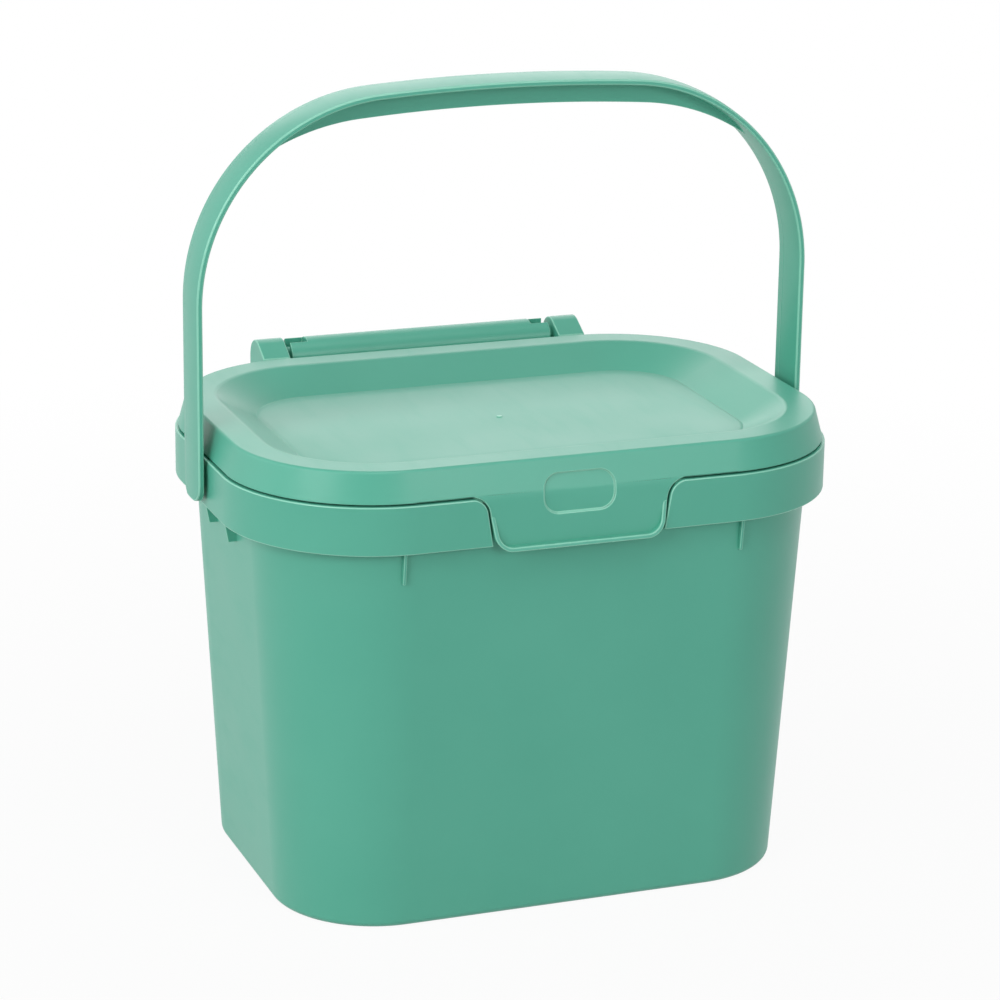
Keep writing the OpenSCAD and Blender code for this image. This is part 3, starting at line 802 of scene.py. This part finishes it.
class CADDY_OT_lid(bpy.types.Operator):
    """Makes the lid and its lift tab, with the bead, the bare oval, the locating rib and the gate mark"""
    bl_idname = "caddy.lid"
    bl_label = "Lid and lift tab"
    bl_options = {"REGISTER", "UNDO"}

    def execute(self, context):
        lid, tab = sizes("lid"), sizes("tab")
        centre, collar_top, top = collar_centre(), sizes("tub").height, lid_top()
        under = top - lid.thickness
        side = lid_radius(collar_top)
        rim = lid_radius(top) - lid.rim_width
        pan, pan_z = rim - lid.slope_width, top - lid.pan_drop
        valley_z = pan_z - lid.valley / 2
        shift = lid.thickness * math.tan(math.atan(lid.pan_drop / lid.slope_width) / 2)
        bm = bmesh.new()
        loops = skin(bm, [(centre, radius, z) for radius, z in (
            (pan + shift, pan_z - lid.thickness),
            (rim + shift, under),
            (lid_radius(under) - lid.thickness, under),
            (side - tab.thickness, collar_top),
            (side + tab.lean - tab.thickness, TAB_FOOT),
            (side + tab.lean, TAB_FOOT),
            (side, collar_top),
            (lid_radius(top), top),
            (rim, top),
            (pan, valley_z),
            (pan - lid.valley_width * lid.border, valley_z + lid.valley * lid.border_rise),
            (pan - lid.valley_width, valley_z + lid.valley))])
        close_ends(bm, loops)
        # The outer side's folds, from where it turns down into the tab to the foot of the slope
        roundings = (lid.fold_radius, lid.edge_radius, lid.rim_radius, lid.pan_radius)
        for loop, radius in zip(loops[-6:-2], roundings):
            round_edges(bm, loop, radius)
        piece = solid("lid_shell", bm)
        combine(piece, self.below_seam())
        combine(piece, self.oval())
        dress(piece, "lid")
        self.bead()
        self.rib()
        self.gate()
        return {"FINISHED"}

    def tab_outline(self, y, grow):
        """Front view of the tab: rounded foot corners, and roots that flare into the seam"""
        tab = sizes("tab")
        seam, root = lid_foot() + TINY, tab.width / 2 + grow
        foot, wide = root - tab.taper / 2, root + tab.root_radius
        outline = mirrored([(foot, TAB_FOOT - grow), (root, seam), (wide, seam), (wide, seam + OVER)])
        return ([(x, y, z) for x, z in outline],
                {0: tab.foot_radius, 1: tab.root_radius, 6: tab.root_radius, 7: tab.foot_radius})

    def below_seam(self):
        """Cutter that takes the lid's wall away below the seam, all but the tab"""
        clear_of_tab = 4 * OVER
        reach = Vector((COLLAR_HALF_WIDTH + OVER, COLLAR_HALF_DEPTH + clear_of_tab))
        low = TAB_FOOT - OVER
        block = slab("below_seam", -reach.x, 2 * reach.x, (-reach.y, low), (reach.y, lid_foot()))
        outline, rounded = self.tab_outline(-reach.y - OVER, 0)
        combine(block, solid("tab", prism(outline, rounded, (0, reach.y, 0))))
        return block

    def bead(self):
        """The raised bead along the tab's foot, which fades out up its sides"""
        tab = sizes("tab")
        bead_top = TAB_FOOT + tab.bead_height
        bm = bmesh.new()
        outline, rounded = self.tab_outline(0, TINY)
        flat_face(bm, outline, rounded)
        ring = bmesh.ops.inset_region(bm, faces=bm.faces[:], thickness=tab.bead_width,
                                      use_boundary=True, use_even_offset=True)["faces"]
        bmesh.ops.delete(bm, geom=[face for face in bm.faces if face not in ring], context="FACES")
        bmesh.ops.bisect_plane(bm, geom=bm.verts[:] + bm.edges[:] + bm.faces[:], clear_outer=True,
                               plane_co=(0, 0, bead_top), plane_no=(0, 0, 1), dist=TINY)
        back = pull(bm, bm.faces[:], (0, tab.thickness / 2, 0))
        for vert in bm.verts:
            vert.co.y += front_face(vert.co.z) + TINY
            if vert not in back:
                vert.co.y -= tab.bead_out * (bead_top - vert.co.z) / tab.bead_height
        dress(solid("lid_tab_bead", bm), "lid")

    def oval(self):
        """Cutter for the bare recess, whose floor follows the leaning faces of lid and tab"""
        tab = sizes("tab")
        collar_top = sizes("tub").height
        middle = collar_top - tab.oval_down
        before_face = -COLLAR_HALF_DEPTH - 3 * OVER
        outline = [(x * tab.oval_width / 2, before_face, middle + z * tab.oval_height / 2)
                   for x, z in ((-1, -1), (1, -1), (1, 1), (-1, 1))]
        bm = prism(outline, {index: tab.oval_radius for index in range(4)}, (0, 2 * OVER, 0))
        bmesh.ops.bisect_plane(bm, geom=bm.verts[:] + bm.edges[:] + bm.faces[:],
                               plane_co=(0, 0, collar_top), plane_no=(0, 0, 1), dist=TINY)
        for vert in bm.verts:
            if vert.co.y > before_face + OVER:
                vert.co.y = front_face(vert.co.z) + tab.oval_depth
        return solid("oval", bm)

    def rib(self):
        """The rib under the rim that centres the lid in the tub's mouth"""
        tub, lid = sizes("tub"), sizes("lid")
        base = base_centre()
        outer = wall_radius(tub.height) - tub.wall - lid.rib_gap
        foot, root = tub.height - lid.rib_drop, lid_top() - lid.thickness / 2
        start = (base, outer - lid.rib, foot)
        bm = bmesh.new()
        skin(bm, [start, (base, outer, foot), (base, outer, root), (base, outer - lid.rib, root), start])
        dress(solid("lid_locating_rib", bm), "lid", sizes("finish").fine_edge)

    def gate(self):
        """The small gate mark that moulding leaves in the middle of the pan, all in the paler green of a
        painted highlight
        """
        lid = sizes("lid")
        middle = Vector((0, 0, lid_top() - lid.pan_drop + lid.valley / 2))
        bm = bmesh.new()
        rod(bm, lid.gate_radius, middle - Vector((0, 0, lid.thickness / 2)),
            middle + Vector((0, 0, lid.gate_height)))
        piece = solid("lid_gate_mark", bm)
        dress(piece, "lid", sizes("finish").fine_edge)
        # The whole gate mark takes the paler second plastic: a painted highlight
        for polygon in piece.data.polygons:
            polygon.material_index = HIGHLIGHT_SLOT


class CADDY_OT_barrel(bpy.types.Operator):
    """Makes the lid's hinge barrel with its web, hollow from below and slotted over its pins"""
    bl_idname = "caddy.barrel"
    bl_label = "Hinge barrel"
    bl_options = {"REGISTER", "UNDO"}

    def execute(self, context):
        hinge = sizes("hinge")
        half = barrel_length() / 2
        bore_end = half - hinge.pin_length - hinge.tip_clearance
        web_z = HINGE.z - (hinge.barrel_radius + hinge.web) / 2
        web_y = collar_centre().y + lid_radius(web_z) - sizes("lid").thickness
        bm = bmesh.new()
        rod_across(bm, hinge.barrel_radius, HINGE, -half, half)
        piece = solid("lid_hinge_barrel", bm)
        combine(piece, slab("web", -half, 2 * half, (web_y, web_z), (HINGE.y, web_z + hinge.web)), "UNION")
        combine(piece, self.hollow(bore_end - hinge.barrel_wall))
        for side in (-1, 1):
            ends = side * bore_end, side * (half + OVER)
            bore = bmesh.new()
            rod_across(bore, hinge.pin_radius + hinge.pin_clearance, HINGE, *ends)
            combine(piece, solid("bore", bore))
            combine(piece, self.slot(*ends))
        dress(piece, "lid", sizes("finish").fine_edge)
        return {"FINISHED"}

    def hollow(self, end):
        """Cutter for the barrel's hollow: round at the top and open below"""
        hinge = sizes("hinge")
        radius = hinge.barrel_radius - hinge.barrel_wall
        low = (HINGE.y - radius, HINGE.z - hinge.barrel_radius - OVER)
        high = (HINGE.y + radius, HINGE.z + radius)
        arch = radius - TINY
        return slab("hollow", -end, 2 * end, low, high, {2: arch, 3: arch})

    def slot(self, start, end):
        """Cutter for the slot through which a pin snaps in"""
        hinge = sizes("hinge")
        outline = [HINGE + Vector((x, side * hinge.slot_width / 2, 0))
                   for x, side in ((start, -1), (start, 1), (end, 1), (end, -1))]
        return solid("slot", prism(outline, {}, (0, 0, hinge.barrel_radius + OVER)))


# ---- Handle ----

def handle_half():
    """Distance of the band's outer edges from the middle plane"""
    handle = sizes("handle")
    return COLLAR_HALF_WIDTH + handle.gap + handle.band


def arch_centres():
    """Centre of the crown, centre of the right shoulder, and the turn of a shoulder"""
    handle = sizes("handle")
    crown = Vector((0, 0, PIVOT.z + handle.rise - handle.crown_radius))
    reach = handle.crown_radius - handle.shoulder_radius
    turn = math.acos((handle_half() - handle.shoulder_radius) / reach)
    shoulder = crown + reach * Vector((math.cos(turn), 0, math.sin(turn)))
    return crown, shoulder, turn


class CADDY_OT_handle(bpy.types.Operator):
    """Bends the handle's band over its two shoulders and crown, and adds the pins it swings on"""
    bl_idname = "caddy.handle"
    bl_label = "Handle band"
    bl_options = {"REGISTER", "UNDO"}

    def execute(self, context):
        handle, steps = sizes("handle"), sizes("finish").corner_steps
        crown, shoulder, turn = arch_centres()
        far_shoulder = Vector((-shoulder.x, 0, shoulder.z))
        foot = PIVOT.z - handle.limb_end
        bm = bmesh.new()
        self.section(bm, foot)
        end = self.sweep(bm, bm.faces[:], shoulder, 0, 1, shoulder.z - foot)
        for centre, bend, bend_steps in ((shoulder, turn, 2 * steps),
                                         (crown, math.pi - 2 * turn, steps),
                                         (far_shoulder, turn, 2 * steps)):
            end = self.sweep(bm, end, centre, bend, bend_steps)
        self.sweep(bm, end, shoulder, 0, 1, foot - shoulder.z)
        piece = solid("handle_band", bm)
        for side in (-1, 1):
            combine(piece, self.limb_end(side))
        dress(piece, "handle", handle.edge)
        self.pins()
        return {"FINISHED"}

    def section(self, bm, z):
        """Flat section of the band: a strip whose two broad faces swell a little in the middle"""
        handle = sizes("handle")
        half = handle.band_width / 2
        outer = handle_half()
        inner = outer - handle.band
        flat_face(bm, [(inner, -half, z), (outer, -half, z), (outer, half, z), (inner, half, z)])
        broad = [edge for edge in bm.edges if abs(edge.verts[0].co.x - edge.verts[1].co.x) < TINY]
        bmesh.ops.subdivide_edges(bm, edges=broad, cuts=sizes("finish").swell_cuts)
        for vert in bm.verts:
            swell = handle.swell_out if vert.co.x > (inner + outer) / 2 else -handle.swell_in
            vert.co.x += (1 - (vert.co.y / half) ** 2) * swell

    def sweep(self, bm, faces, centre, turn, steps, rise=0):
        """Carries the section's face round a centre or up by `rise`, and returns its new place"""
        inside = len(bm.faces) > 1
        swept = bmesh.ops.spin(bm, geom=faces, cent=centre, axis=(0, -1, 0), angle=turn, steps=steps,
                               dvec=(0, 0, rise), use_merge=False, use_duplicate=False)["geom_last"]
        if inside:
            bmesh.ops.delete(bm, geom=[face for face in faces if face.is_valid], context="FACES_ONLY")
        return [part for part in swept if isinstance(part, bmesh.types.BMFace)]

    def limb_end(self, side):
        """Cutter that leaves the lower end of a limb with rounded corners"""
        handle = sizes("handle")
        foot = PIVOT.z - handle.limb_end
        half = handle.band_width / 2
        radius = handle.limb_end_radius
        clear_of_band = 3 * handle.band
        near, width, top = side * handle_half() - clear_of_band, 2 * clear_of_band, foot + radius
        rounded = slab("rounded_end", near, width, (-half, foot), (half, top), {0: radius, 1: radius})
        block = slab("corners", near + TINY, width - 2 * TINY,
                     (-half - OVER, foot - OVER), (half + OVER, top))
        combine(block, rounded)
        return block

    def pins(self):
        """The two pins that point inwards through the skirt, each with its head"""
        handle = sizes("handle")
        lip = COLLAR_HALF_WIDTH - sizes("tub").skirt - handle.head_play
        tip, root = lip - handle.head, handle_half() - handle.band / 2
        bm = bmesh.new()
        for side in (-1, 1):
            rod_across(bm, handle.pin_radius + handle.head_lip, PIVOT, side * tip, side * lip)
            rod_across(bm, handle.pin_radius, PIVOT, side * (tip + lip) / 2, side * root)
        dress(solid("handle_pivot_pins", bm), "handle", sizes("finish").fine_edge)


class CADDY_OT_grip_rib(bpy.types.Operator):
    """Makes the rib under the grip, deep in the middle and running out along the shoulders"""
    bl_idname = "caddy.grip_rib"
    bl_label = "Grip rib"
    bl_options = {"REGISTER", "UNDO"}

    def execute(self, context):
        handle = sizes("handle")
        crown, shoulder, turn = arch_centres()
        steps = 3 * sizes("finish").corner_steps
        embedded = handle.crown_radius - handle.band / 2
        under = handle.crown_radius - handle.band - handle.rib_depth
        half_turn = math.asin(handle.rib_half / under)
        reach = under - handle.rib_end_radius
        run_out = crown + reach * Vector((math.sin(half_turn), 0, math.cos(half_turn)))
        meeting = self.crossing(run_out, handle.rib_end_radius, shoulder,
                                handle.shoulder_radius - handle.band / 2)
        bm = bmesh.new()
        top = bm.verts.new(crown + Vector((0, -handle.rib / 2, embedded)))
        bottom = bm.verts.new(crown + Vector((0, -handle.rib / 2, under)))
        for vert, last_centre, along_crown in ((top, shoulder, turn),
                                               (bottom, run_out, math.pi / 2 - half_turn)):
            vert = self.arc(bm, vert, crown, along_crown - math.pi / 2, steps)
            self.arc(bm, vert, last_centre, self.bearing(last_centre, meeting) - along_crown, steps)
        bmesh.ops.bridge_loops(bm, edges=bm.edges[:])
        pull(bm, bm.faces[:], (0, handle.rib, 0))
        bmesh.ops.mirror(bm, geom=bm.verts[:] + bm.edges[:] + bm.faces[:], axis="X", merge_dist=TINY)
        inner = [face for face in bm.faces if all(abs(vert.co.x) < TINY for vert in face.verts)]
        bmesh.ops.delete(bm, geom=inner, context="FACES_ONLY")
        dress(solid("handle_grip_rib", bm), "handle", sizes("finish").fine_edge)
        return {"FINISHED"}

    def crossing(self, first, first_radius, second, second_radius):
        """Where two circles in the handle's plane cross, on the outer side"""
        apart = second - first
        along = (apart.length ** 2 + first_radius ** 2 - second_radius ** 2) / (2 * apart.length)
        away = math.sqrt(first_radius ** 2 - along ** 2)
        direction = apart.normalized()
        return first + along * direction + away * Vector((direction.z, 0, -direction.x))

    def bearing(self, centre, point):
        """Angle of a point seen from a centre in the handle's plane"""
        return math.atan2(point.z - centre.z, point.x - centre.x)

    def arc(self, bm, vert, centre, turn, steps):
        """Carries a point round a centre in the handle's plane, and returns where it ends"""
        swept = bmesh.ops.spin(bm, geom=[vert], cent=centre, axis=(0, -1, 0), angle=turn, steps=steps,
                               use_merge=False, use_duplicate=False)["geom_last"]
        return next(part for part in swept if isinstance(part, bmesh.types.BMVert))


# ---- Stage ----

class CADDY_OT_stage(bpy.types.Operator):
    """Sets the caddy on a pale floor under soft lights, in front of the camera"""
    bl_idname = "caddy.stage"
    bl_label = "Stage"
    bl_options = {"REGISTER", "UNDO"}

    # Each light's name, the side of its square in metres, and its place
    LIGHTS = (("overhead", 1, (0, -0.7, 2)),
              ("front", 0.6, (0.52, -1.81, 0.83)),
              ("front_left", 1, (-1.6, -0.9, 1)),
              ("rear_left", 1.2, (-1.4, 0.5, 0.8)),
              ("back", 1.4, (0.5, 1.6, 1)))
    AIM_HEIGHT = 0.8  # where the lights are aimed, as a share of the tub's height
    FLOOR_HALF = 6  # half the floor's width in metres
    FLOOR_ROUGHNESS = 0.9
    SHADOW_RANGE = (0.2, 0.75)  # distances from the middle over which the floor turns all white
    SENSOR = 36  # width of the camera's sensor in millimetres
    WHITE = (1, 1, 1, 1)

    def execute(self, context):
        look = sizes("stage")
        context.scene.view_settings.view_transform = "Standard"
        bm = bmesh.new()
        bmesh.ops.create_grid(bm, x_segments=1, y_segments=1, size=self.FLOOR_HALF)
        floor = add_mesh("floor", bm)
        floor.data.materials.append(self.floor_paint())
        self.surround(context)
        for name, side, place in self.LIGHTS:
            self.light(name + "_light", getattr(look, name), side, place)
        self.aim_camera(context)
        return {"FINISHED"}

    def floor_paint(self):
        """Matt floor that the camera sees as near white, with a soft shadow"""
        look = sizes("stage")
        paint = bpy.data.materials.new("floor")
        paint.use_nodes = True
        tree = paint.node_tree
        matt = tree.nodes["Principled BSDF"]
        feed(tree, matt, {"Base Color": (*look.floor, 1), "Roughness": self.FLOOR_ROUGHNESS})
        white = add_node(tree, "Emission", {"Color": self.WHITE, "Strength": 1})
        place = add_node(tree, "TexCoord").outputs["Object"]
        distance = add_node(tree, "VectorMath", {0: place}, operation="LENGTH").outputs["Value"]
        glow = spread(tree, distance, self.SHADOW_RANGE, (look.glow, 1))
        white_share = calculate(tree, "MULTIPLY", glow, self.seen(tree))
        mix = add_node(tree, "MixShader", {0: white_share, 1: matt.outputs[0], 2: white.outputs[0]})
        feed(tree, tree.nodes["Material Output"], {"Surface": mix.outputs[0]})
        return paint

    def seen(self, tree):
        """1 for a ray that the camera sends, directly, by a mirror's reflection or through glass"""
        path = add_node(tree, "LightPath")
        largest = path.outputs["Is Camera Ray"]
        for kind in ("Is Glossy Ray", "Is Transmission Ray"):
            largest = calculate(tree, "MAXIMUM", largest, path.outputs[kind])
        return largest

    def surround(self, context):
        """Even light from all round, which the camera sees as white"""
        world = bpy.data.worlds.new("studio")
        context.scene.world = world
        world.use_nodes = True
        tree = world.node_tree
        strength = spread(tree, self.seen(tree), (0, 1), (sizes("stage").surround, 1))
        feed(tree, tree.nodes["Background"], {"Color": self.WHITE, "Strength": strength})

    def light(self, name, power, side, place):
        """A square soft light that faces the middle of the caddy"""
        data = bpy.data.lights.new(name, "AREA")
        data.energy = power
        data.size = side
        light = add_object(name, data)
        light.visible_camera = False
        light.location = place
        middle = Vector((0, 0, sizes("tub").height * self.AIM_HEIGHT))
        light.rotation_euler = (middle - Vector(place)).to_track_quat("-Z", "Y").to_euler()

    def aim_camera(self, context):
        """Sets the camera at the photograph's place, turn and lens"""
        look = sizes("stage")
        data = bpy.data.cameras.new("camera")
        data.sensor_width = self.SENSOR
        data.lens = look.lens
        camera = add_object("camera", data)
        camera.matrix_world = (Matrix.Translation(Vector(look.camera))
                               @ Matrix.Rotation(-look.azimuth, 4, "Z")
                               @ Matrix.Rotation(math.pi / 2 - look.elevation, 4, "X")
                               @ Matrix.Rotation(look.roll, 4, "Z"))
        context.scene.camera = camera


# ---- Panel and registration ----

GROUPS = {"tub": TubSizes, "gusset": GussetSizes, "lid": LidSizes, "tab": TabSizes,
          "hinge": HingeSizes, "handle": HandleSizes, "finish": FinishSizes,
          "plastic": PlasticLook, "stage": StageLook}

OPERATORS = (CADDY_OT_plastics, CADDY_OT_tub, CADDY_OT_gussets, CADDY_OT_knuckles, CADDY_OT_lid,
             CADDY_OT_barrel, CADDY_OT_handle, CADDY_OT_grip_rib, CADDY_OT_stage)


class CADDY_PT_panel(bpy.types.Panel):
    """Lists the caddy's pieces and their sizes"""
    bl_idname = "CADDY_PT_panel"
    bl_label = "Compost caddy"
    bl_space_type = "VIEW_3D"
    bl_region_type = "UI"
    bl_category = "Caddy"

    def draw(self, context):
        for operator in OPERATORS:
            self.layout.operator(operator.bl_idname)
        for name in GROUPS:
            box = self.layout.box()
            box.label(text=name.capitalize())
            for setting in GROUPS[name].__annotations__:
                box.prop(sizes(name), setting)


CLASSES = (*GROUPS.values(), *OPERATORS, CADDY_PT_panel)


def register():
    for cls in CLASSES:
        bpy.utils.register_class(cls)
    for name, group in GROUPS.items():
        setattr(bpy.types.Scene, "caddy_" + name, PointerProperty(type=group))


def unregister():
    for name in GROUPS:
        delattr(bpy.types.Scene, "caddy_" + name)
    for cls in reversed(CLASSES):
        bpy.utils.unregister_class(cls)


def corners(box):
    return [list(corner) for corner in box]


def main():
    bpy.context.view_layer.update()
    register()
    bpy.ops.caddy.plastics()
    bpy.ops.caddy.tub()
    bpy.ops.caddy.gussets()
    bpy.ops.caddy.knuckles()
    bpy.ops.caddy.lid()
    bpy.ops.caddy.barrel()
    bpy.ops.caddy.handle()
    bpy.ops.caddy.grip_rib()
    bpy.ops.caddy.stage()


if __name__ == "__main__":
    main()
